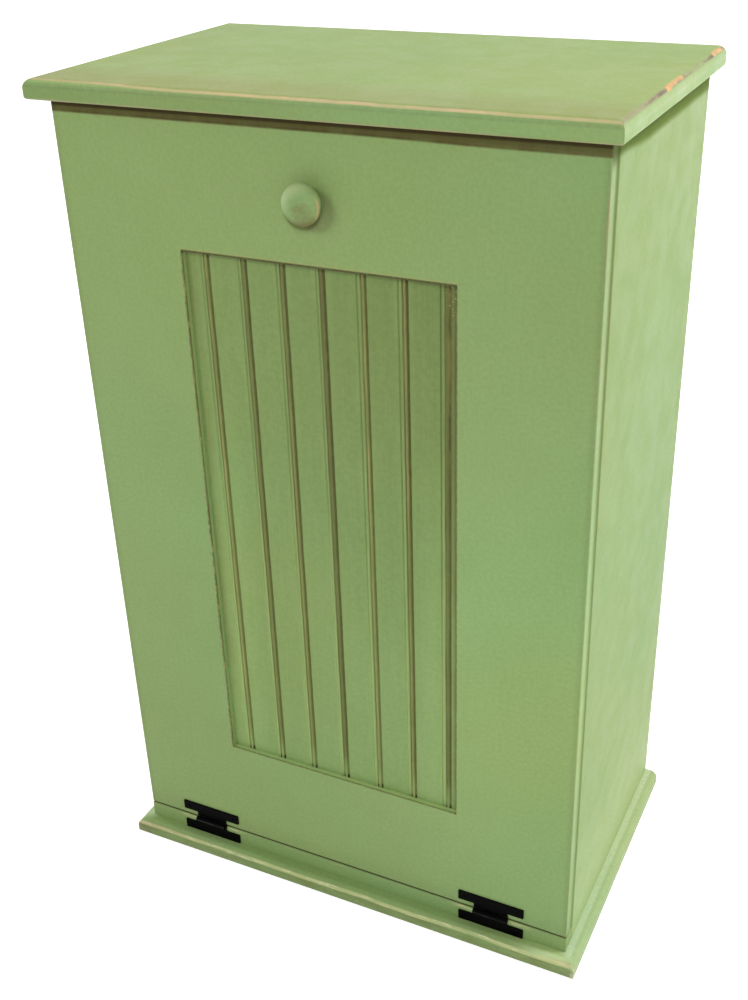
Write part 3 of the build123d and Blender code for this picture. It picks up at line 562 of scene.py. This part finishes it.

# Beadboard: on each bead lie, from left to right, a pale strip of painted highlight, a dark seam, a crest
# rubbed to gold, brown glaze and the dark line of the groove
beads = {
    "pitch": 41.1 * mm, "shift": 4.0 * mm, "tone": (1.00, 0.98, 0.93), "strokeTone": (0.80, 0.78, 0.66),
    "dirtyTone": (0.76, 0.72, 0.62), "outerFlats": (0.085, 0.112), "outerTone": (1.12, 1.12, 1.14),
    "low": (0.30, 0.56), "high": (0.40, 0.62), "stained": inMm(5.7, 12.7),
    "groove": inMm(-6.2, -5.2, -3.8, -3.0), "paintedGrooveLightTone": (1.30, 1.28, 1.24),
    "grooveLine": inMm(-5.9, -5.5, -4.8, -4.0), "olive": (0.095, 0.100, 0.026),
    "paintedHighlightStrip": inMm(-5.4, -4.2, -2.8, -1.8), "pale": (0.440, 0.560, 0.240),
    "seam": inMm(-1.9, -1.1, -0.3, 0.5), "darkLine": inMm(2.3, 3.1, 4.0, 4.9),
    "brownStrip": inMm(-2.2, -0.4, 4.4, 5.4), "greyBrown": (0.130, 0.142, 0.042),
    "tanBrown": (0.185, 0.170, 0.052), "rust": (0.130, 0.090, 0.050),
    "crest": inMm(-0.1, 0.5, 1.5, 2.3), "gold": (0.420, 0.385, 0.130),
    "leftDirt": inMm(6, 16), "warmOlive": (0.215, 0.235, 0.075), "rightGlazeAndShade": inMm(3.0, 8.5),
    "farDirt": inMm(7.5, 12.5), "goldStreak": inMm(8.2, 9.2, 10.4, 11.6),
    "rustStreak": inMm(5.8, 6.8, 8.0, 9.0), "fleckDown": inMm(15, 45), "fleckIn": inMm(6, 18),
    "rimRight": inMm(1.0, 4.2), "rimTop": inMm(0.3, 3.2), "footDot": (0.020, 0.020, 0.010),
    "dotHeight": inMm(2.5, 5),
    # for each bead from left to right: how brown it is, how bare its crest, its groove's dirt, and how far
    # its lines lie to the right in millimetres, plus slipFrom, since a ramp holds nothing below 0
    "stain": (0.35, 0.70, 0.65, 1.0, 0.20, 0.75, 0.80), "rubbed": (0.95, 0.15, 0.45, 0.05, 0.80, 0.60, 0.15),
    "dirt": (0.35, 1.0, 0.65, 0.75, 0.15, 0.45, 0.75), "slip": (0.3, 0.2, 0.2, 0.0, 1.0, 0.9, 0.8),
    "slipFrom": 0.8,
}


def paintBeadboard():
    finish = Finish("beadboardPaint")
    height = brushedPaint(finish, "z", streaks=0.16, shift=31.3, tone=1.02)
    strokes = finish.noise((1.2 * mm, 1.2 * mm, 60 * mm), detail=4.0, roughness=0.7, shift=33.0)
    finish.tint(beads["strokeTone"], strokes * 0.22)
    # the upper right of the panel is the dirtier
    dirty = finish.z.rise(0.32, 0.74) * (0.35 + 0.65 * finish.x.rise(-0.16, 0.08))
    finish.tint(beads["dirtyTone"], dirty)
    finish.tint(beads["tone"])
    outerFlats = abs(finish.x).rise(*beads["outerFlats"]) * finish.z.fall(0.50, 0.66)
    finish.tint(beads["outerTone"], outerFlats)
    along = (finish.x - beads["shift"]) / beads["pitch"] + 0.5
    number = finish.math("FLOOR", along) + 3.5
    stain, rubbed, dirt, slip = (
        finish.node("ShaderNodeValToRGB", {"steps": beads[name]}, {0: number / len(beads[name])})
        for name in ("stain", "rubbed", "dirt", "slip"))
    long = finish.noise((0.022, 1.0, 0.09), detail=3.0, roughness=0.6, shift=36.0)
    short = finish.noise((0.006, 1.0, 0.012), detail=4.0, roughness=0.7, shift=37.0)
    other = finish.noise((0.022, 1.0, 0.05), detail=3.0, roughness=0.65, shift=39.0)
    straight = (finish.math("FRACT", along) - 0.5) * beads["pitch"]
    offset = straight - (slip - beads["slipFrom"]) * mm + 0.5 * mm * (other - 0.5)
    lowDown, highUp = finish.z.fall(*beads["low"]), finish.z.rise(*beads["high"])
    atBottom, atTop = finish.z - opening["bottom"], opening["top"] - finish.z
    atRight, atLeft = opening["half"] - finish.x, finish.x + opening["half"]
    finish.cover(milkPaint["olive"], abs(straight).fall(*beads["stained"]) * 0.25 * long)
    # painted light: low down, the groove on the left of each bead is made lighter, offsetting its shade
    finish.tint(beads["paintedGrooveLightTone"], straight.band(*beads["groove"]) * lowDown)
    # painted highlight: a pale strip on the left of each bead
    pale = offset.band(*beads["paintedHighlightStrip"]) * (0.35 + 0.40 * long) * (1 - 0.45 * highUp)
    finish.cover(beads["pale"], pale)
    brown = finish.mix(beads["tanBrown"], beads["greyBrown"], stain * (0.5 + 0.5 * short))
    rusty = finish.noise((0.003, 1.0, 0.02), detail=4.0, roughness=0.7, shift=44.0, contrast=0.14)
    brown = finish.mix(brown, beads["rust"], rusty * (0.15 + 0.45 * stain) * highUp)
    brownShare = (0.42 + 0.48 * stain) * (0.80 + 0.20 * long) * atBottom.rise(4 * mm, 40 * mm) * 0.85 + 0.10
    onBrown = offset.band(*beads["brownStrip"])
    finish.cover(brown, onBrown * brownShare)
    bared = finish.noise((0.022, 1.0, 0.10), detail=4.0, roughness=0.7, shift=43.0, contrast=0.12)
    bareShare = rubbed * (0.20 + 0.80 * bared) + 0.15 * atBottom.fall(6 * mm, 30 * mm)
    finish.cover(beads["gold"], offset.band(*beads["crest"]) * bareShare * 0.85)
    onSeam, onLine = offset.band(*beads["seam"]), offset.band(*beads["darkLine"])
    seam = onSeam * (0.25 + 0.40 * long)
    darkLine = onLine * (0.36 + 0.30 * stain + 0.26 * highUp) * (0.55 + 0.45 * short)
    finish.cover(beads["olive"], seam)
    finish.cover(beads["olive"], darkLine)
    grooveLine = straight.band(*beads["grooveLine"]) * (0.02 + 0.30 * highUp * dirt * long)
    finish.cover(beads["olive"], grooveLine)
    finish.cover(beads["warmOlive"], atLeft.fall(*beads["leftDirt"]) * (0.10 + 0.40 * long))
    # glaze gathered where the panel meets the frame, most of all at the right and the top, where painted
    # shade of the frame's edge lies too
    rightGlazeAndShade = atRight.fall(*beads["rightGlazeAndShade"]) * (0.28 + 0.20 * highUp + 0.30 * long)
    rightGlazeAndShade = finish.most(rightGlazeAndShade, atRight.fall(*beads["farDirt"]) * highUp * (0.20 + 0.22 * long))
    finish.cover(doorWear["oliveBrown"], rightGlazeAndShade)
    goldStreak = atRight.band(*beads["goldStreak"]) * bared * highUp
    finish.cover(beads["gold"], goldStreak * 0.45)
    rustStreak = atRight.band(*beads["rustStreak"]) * rusty * highUp
    finish.cover(beads["rust"], rustStreak * 0.45)
    fleck = finish.noise((0.0025, 1.0, 0.0025), detail=2.0, shift=38.0).rise(0.86, 0.97)
    fleck = fleck * atRight.fall(*beads["fleckIn"]) * atTop.fall(*beads["fleckDown"])
    finish.cover(beads["pale"], fleck * 0.6)
    # glaze and painted shade along the right and top rims
    rim = finish.most(atRight.fall(*beads["rimRight"]), atTop.fall(*beads["rimTop"]) * 1.2)
    finish.cover(milkPaint["glaze"], rim * (0.52 + 0.30 * short))
    lineEnds = finish.most(atTop.fall(2 * mm, 12 * mm), atBottom.fall(1 * mm, 5 * mm))
    finish.cover(beads["olive"], finish.most(seam, darkLine) * lineEnds)
    footDots = finish.most(onSeam, onLine) * atBottom.fall(*beads["dotHeight"])
    finish.cover(beads["footDot"], footDots * (0.40 + 0.60 * long))
    return finish.done(paintRoughness(finish, 30.0, finish.most(onBrown, rim, rightGlazeAndShade)), height, 0.25 * mm)


dress(paintBeadboard(), "beadboard_panel")

sideWear = {
    "reach": 1.6 * mm, "joint": inMm(0.5, 5.0),
    "underTop": inMm(17.8, 25.5), "shadeTone": (0.57, 0.575, 0.37),
    "high": (0.25, 0.88), "highTone": (0.86, 0.86, 0.68),
    "middle": (0.06, 0.20, 0.44, 0.72), "middleTone": (0.93, 0.94, 0.87),
    "low": (0, 0.35), "lowTone": (1.13, 1.07, 1.09), "lowest": (0.02, 0.16), "lowestTone": (1.13, 1.06, 1.15),
    "foot": inMm(0.5, 3.5),
}


def paintSide(name, shift):
    finish = Finish(name + "Paint")
    gaps = gapsOf(finish, *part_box(name))
    height = brushedPaint(finish, "z", streaks=0.01, shift=shift)
    patchy = finish.noise((0.02, 0.02, 0.06), detail=4.0, roughness=0.65, shift=shift + 2)
    arris = finish.most(finish.least(gaps["left"], gaps["right"]), gaps["back"])
    reach = sideWear["reach"] * (0.4 + 0.8 * patchy)
    rub = (reach - arris).rise(-0.3 * mm, 0.5 * mm) * (0.2 + 0.6 * patchy)
    finish.cover(milkPaint["brown"], rub * 0.6)
    joint = gaps["front"].fall(*sideWear["joint"])
    finish.cover(milkPaint["glaze"], joint * 0.32)
    # the top board's shade, which reaches less far down near the front
    shaded = (gaps["top"] + 5 * mm * gaps["front"].fall(0.01, 0.09)).fall(*sideWear["underTop"])
    finish.tint(sideWear["shadeTone"], shaded)
    # painted light and shade: darker towards the top and lighter towards the bottom, evening out how the
    # lamps light the side
    finish.tint(sideWear["highTone"], finish.z.rise(*sideWear["high"]))
    finish.tint(sideWear["middleTone"], finish.z.band(*sideWear["middle"]))
    finish.tint(sideWear["lowTone"], finish.z.fall(*sideWear["low"]))
    finish.tint(sideWear["lowestTone"], finish.z.fall(*sideWear["lowest"]))
    foot = gaps["bottom"].fall(*sideWear["foot"])
    finish.cover(milkPaint["glaze"], foot * 0.10 * (0.4 + 0.6 * patchy))
    return finish.done(paintRoughness(finish, shift, finish.most(shaded, joint)), height, depth=0.012 * mm)


dress(paintSide("side_panel_left", 41.3), "side_panel_left")
dress(paintSide("side_panel_right", 51.3), "side_panel_right")

toeWear = {
    "tone": (0.93, 0.97, 0.98), "tall": inMm(0, 20), "joint": inMm(0.5, 1.6), "onTop": inMm(0.2, 0.5),
    "dirtyTop": inMm(0.3, 1.2, 5, 14), "patches": inMm(0.8, 1.6, 2.0, 5.0),
    "patchColor": (0.480, 0.430, 0.210), "besideHinge": inMm(19, 21, 34, 52),
    "besideStart": inMm(0.6, 1.2), "besideEnd": inMm(2.4, 6.5), "cream": (0.570, 0.570, 0.280),
    "hingeFoot": inMm(35, 36.5),
}


def paintToeRail():
    finish = Finish("toeRailPaint")
    gaps = gapsOf(finish, *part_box("toe_rail"))
    height = brushedPaint(finish, "x", streaks=0.08, shift=61.3, tone=0.95)
    finish.tint(toeWear["tone"])
    patchy = finish.noise((0.05, 0.02, 0.02), detail=4.0, roughness=0.65, shift=62.0)
    fine = finish.noise((0.010, 0.004, 0.004), detail=3.0, shift=65.0)
    arris = finish.most(gaps["top"], gaps["front"])
    finish.cover(milkPaint["glaze"], gaps["bottom"].fall(*toeWear["tall"]) * 0.03)
    finish.cover(milkPaint["glaze"], arris.fall(*toeWear["joint"]) * 0.15)
    onTop = gaps["top"].fall(*toeWear["onTop"]) * gaps["front"].band(*toeWear["dirtyTop"])
    finish.cover(doorWear["jointGreen"], onTop)
    rub = gaps["top"].band(*toeWear["patches"]) * patchy.rise(0.35, 0.85)
    finish.cover(toeWear["patchColor"], rub * 0.45 * (0.5 + 0.5 * fine))
    # pale rubbed places on the upper edge beside each hinge's neck
    beside = besideHinge(finish).band(*toeWear["besideHinge"]) * gaps["top"].rise(*toeWear["besideStart"])
    finish.cover(toeWear["cream"], beside * gaps["top"].fall(*toeWear["besideEnd"]) * (0.30 + 0.50 * fine))
    # painted shade: near black on the toe rail behind the hinge knuckles
    paintedHingeShade = behindHinge(finish) * finish.z.rise(*toeWear["hingeFoot"])
    finish.cover(doorWear["paintedHingeShade"], paintedHingeShade)
    return finish.done(paintRoughness(finish, 60.0, paintedHingeShade), height)


dress(paintToeRail(), "toe_rail")

knobLook = {
    "light": (0.460, 0.560, 0.275), "paintedHighlightFrom": inMm(4, 13), "stain": (0.205, 0.180, 0.066),
    "stainAt": inMm(5, -5), "stainReach": inMm(4, 14), "lowSide": inMm(4, 17), "lowFrom": inMm(8, 18),
    "rim": inMm(17.2, 18.0), "rubDepth": inMm(7.5, 10.5), "rubHeight": inMm(4, 12),
    "rimTan": (0.600, 0.390, 0.200), "neck": inMm(2, 11), "paintedShadeDepth": inMm(8, 14),
    "dark": (0.080, 0.066, 0.022),
}


def paintKnob():
    finish = Finish("knobPaint")
    height = brushedPaint(finish, "x", streaks=0.06, shift=71.3, tone=0.97)
    across, tall, deep = finish.x - knobMiddle.x, finish.z - knobMiddle.z, finish.y - knobLow.y
    radius = finish.distance(across, tall)
    fine = finish.noise((0.005, 0.005, 0.005), detail=4.0, roughness=0.7, shift=75.0)
    # painted highlight on the upper left of the knob
    pale = (tall * 50 - across * 40).rise(0.1, 1.1) * radius.rise(*knobLook["paintedHighlightFrom"])
    finish.cover(knobLook["light"], pale * 0.70)
    fromStain = finish.distance(across - knobLook["stainAt"][0], tall - knobLook["stainAt"][1])
    stain = fromStain.fall(*knobLook["stainReach"]) * (0.45 + 0.55 * fine)
    finish.cover(knobLook["stain"], stain * 0.60)
    # darker towards the bottom of the knob
    lowSide = (-tall).rise(*knobLook["lowSide"]) * radius.rise(*knobLook["lowFrom"])
    finish.cover(knobLook["stain"], lowSide * 0.85)
    # the rim is rubbed at its right; glaze and painted shade lie on the neck, and painted shade on the
    # underside below
    onRim = radius.rise(*knobLook["rim"]) * deep.fall(*knobLook["rubDepth"])
    toRight = (across * 50 + tall * 6).rise(0.35, 0.90)
    toRight = toRight * (0.25 + 0.75 * abs(tall + 1 * mm).fall(*knobLook["rubHeight"]))
    finish.cover(knobLook["rimTan"], onRim * toRight * (0.45 + 0.45 * fine))
    neck = (knobHigh.y - finish.y).fall(*knobLook["neck"])
    finish.cover(milkPaint["glaze"], neck * 0.80)
    below = deep.rise(*knobLook["paintedShadeDepth"]) * (across * 40 - tall * 70).rise(0.1, 0.9)
    finish.cover(knobLook["dark"], below * 0.75)
    return finish.done(paintRoughness(finish, 70.0, 0.6 * lowSide + 0.5 * stain), height)


dress(paintKnob(), "knob")

print("bare wood")
pine = {
    "pale": (0.66, 0.46, 0.25), "mid": (0.55, 0.35, 0.17), "dark": (0.36, 0.20, 0.085),
    "fibreTone": (0.80, 0.76, 0.70), "ringWidth": 7 * mm, "offCentre": 0.055, "roughness": 0.62,
    "stretch": 0.10, "bend": 0.05, "fibreLength": 0.05, "fibreWidth": 0.0007,
}


# sawn pine: rings round a heart that lies off the piece, bent a little and stretched along the grain
def barePine(name, grain, shift):
    finish = Finish(name)
    stretch = grained(grain, pine["stretch"], 1)
    spot = finish.node("ShaderNodeVectorMath", {"operation": "MULTIPLY"}, {0: finish.place, 1: stretch})
    warpInputs = {"Vector": spot, "Scale": 14.0, "Detail": 2.0}
    warp = finish.node("ShaderNodeTexNoise", inputs=warpInputs, out="Color")
    warp = finish.node("ShaderNodeVectorMath", {"operation": "SCALE"}, {0: warp, "Scale": pine["bend"]})
    bent = finish.node("ShaderNodeVectorMath", {"operation": "ADD"}, {0: spot, 1: warp})
    off = grained(grain, 0, pine["offCentre"] + 0.004 * shift)
    centred = finish.node("ShaderNodeVectorMath", {"operation": "ADD"}, {0: bent, 1: off})
    flattened = {0: centred, 1: grained(grain, 0, 1)}
    ringed = finish.node("ShaderNodeVectorMath", {"operation": "MULTIPLY"}, flattened)
    radius = finish.node("ShaderNodeVectorMath", {"operation": "LENGTH"}, {0: ringed}, out="Value")
    phase = finish.math("FRACT", radius / pine["ringWidth"])
    late = phase.rise(0.35, 0.92) * phase.fall(0.94, 1.0)
    fibreLengths = grained(grain, pine["fibreLength"], pine["fibreWidth"])
    fibres = finish.noise(fibreLengths, detail=3.0, roughness=0.7, shift=shift)
    clouds = finish.noise((0.12, 0.12, 0.12), shift=shift + 4)
    finish.color = finish.mix(pine["pale"], pine["mid"], clouds * 0.5)
    finish.cover(pine["dark"], late * 0.42)
    finish.tint(pine["fibreTone"], fibres * 0.35)
    return finish.done(pine["roughness"] + 0.08 * fibres, late * 0.4 + fibres * 0.4, depth=0.2 * mm)


dress(barePine("pineAcross", "x", 3.0), "top_stretcher_front", "top_stretcher_back", "base_cleat_back",
      "cradle_back_rail", "bin_shelf", "stretcher_dowels")
dress(barePine("pineDeep", "y", 5.0), "base_cleat_left", "base_cleat_right", "cradle_side_left",
      "cradle_side_right")
dress(barePine("pineTall", "z", 8.0), "corner_cleat_left", "corner_cleat_right", "cradle_cleat_left",
      "cradle_cleat_right", "back_panel")

print("metal, plastic and felt")
# black steel; its rubbed colour is a painted highlight on the knuckles
blackSteel = {
    "color": (0.0008, 0.0008, 0.0009), "smear": (0.0022, 0.0022, 0.0022), "rubbed": (0.075, 0.072, 0.068),
    "knuckleFront": inMm(2.6, 3.0), "highlightLine": inMm(-0.1, 0.3, 0.6, 1.0), "roughness": 0.42,
}


def hingeBlack():
    finish = Finish("hingeBlack")
    speck = finish.noise((0.0015, 0.0015, 0.0015), detail=2.0, shift=81.0)
    smear = finish.noise((0.02, 0.006, 0.006), detail=3.0, shift=83.0)
    finish.color = finish.mix(blackSteel["color"], blackSteel["smear"], smear)
    # a painted highlight lies along a thin line on the front of the knuckles
    inFront = (hingeY - finish.y).rise(*blackSteel["knuckleFront"])
    rubbed = (finish.z - hingeZ).band(*blackSteel["highlightLine"]) * inFront
    finish.cover(blackSteel["rubbed"], rubbed * (0.2 + 0.8 * smear))
    roughness = blackSteel["roughness"] + 0.14 * smear
    return finish.done(roughness, speck, depth=0.05 * mm, specular=0.02)


dress(hingeBlack(), *[name for name in nodes if name.startswith("hinge_")])

zinc = {"color": (0.62, 0.61, 0.57), "bloom": (0.47, 0.46, 0.42), "roughness": 0.32}


def zincSteel():
    finish = Finish("zincSteel")
    bloom = finish.noise((0.004, 0.004, 0.004), detail=3.0, shift=91.0)
    finish.color = finish.mix(zinc["color"], zinc["bloom"], bloom)
    return finish.done(zinc["roughness"] + 0.15 * bloom, bloom, depth=0.03 * mm, metallic=1.0)


dress(zincSteel(), "top_screws", "base_screws", "toe_rail_screws", "cleat_screws", "cradle_screws",
      "cradle_cleat_screws", "knob_screw", "catch_screws", "catch_plate", "catch_plate_screw",
      "back_panel_nails")

plainLooks = {
    "catch_case": {"name": "catchPlastic", "color": (0.24, 0.16, 0.09), "darker": (0.20, 0.13, 0.07),
                   "roughness": 0.42, "grain": 1.2 * mm, "depth": 0.04 * mm},
    "catch_magnet": {"name": "ferriteMagnet", "color": (0.05, 0.05, 0.055), "darker": (0.035, 0.035, 0.04),
                     "roughness": 0.55, "grain": 1.0 * mm, "depth": 0.05 * mm},
    "door_bumpers": {"name": "feltBumper", "color": (0.20, 0.13, 0.07), "darker": (0.12, 0.08, 0.04),
                     "roughness": 0.95, "grain": 0.6 * mm, "depth": 0.25 * mm, "sheen": 0.4},
}


def plainFinish(name, color, darker, roughness, grain, depth, sheen=0.0):
    finish = Finish(name)
    grains = finish.noise((grain, grain, grain), detail=3.0, shift=95.0)
    finish.color = finish.mix(color, darker, grains)
    return finish.done(roughness + 0.06 * grains, grains, depth=depth, sheen=sheen)


for name, look in plainLooks.items():
    dress(plainFinish(**look), name)

print("done")
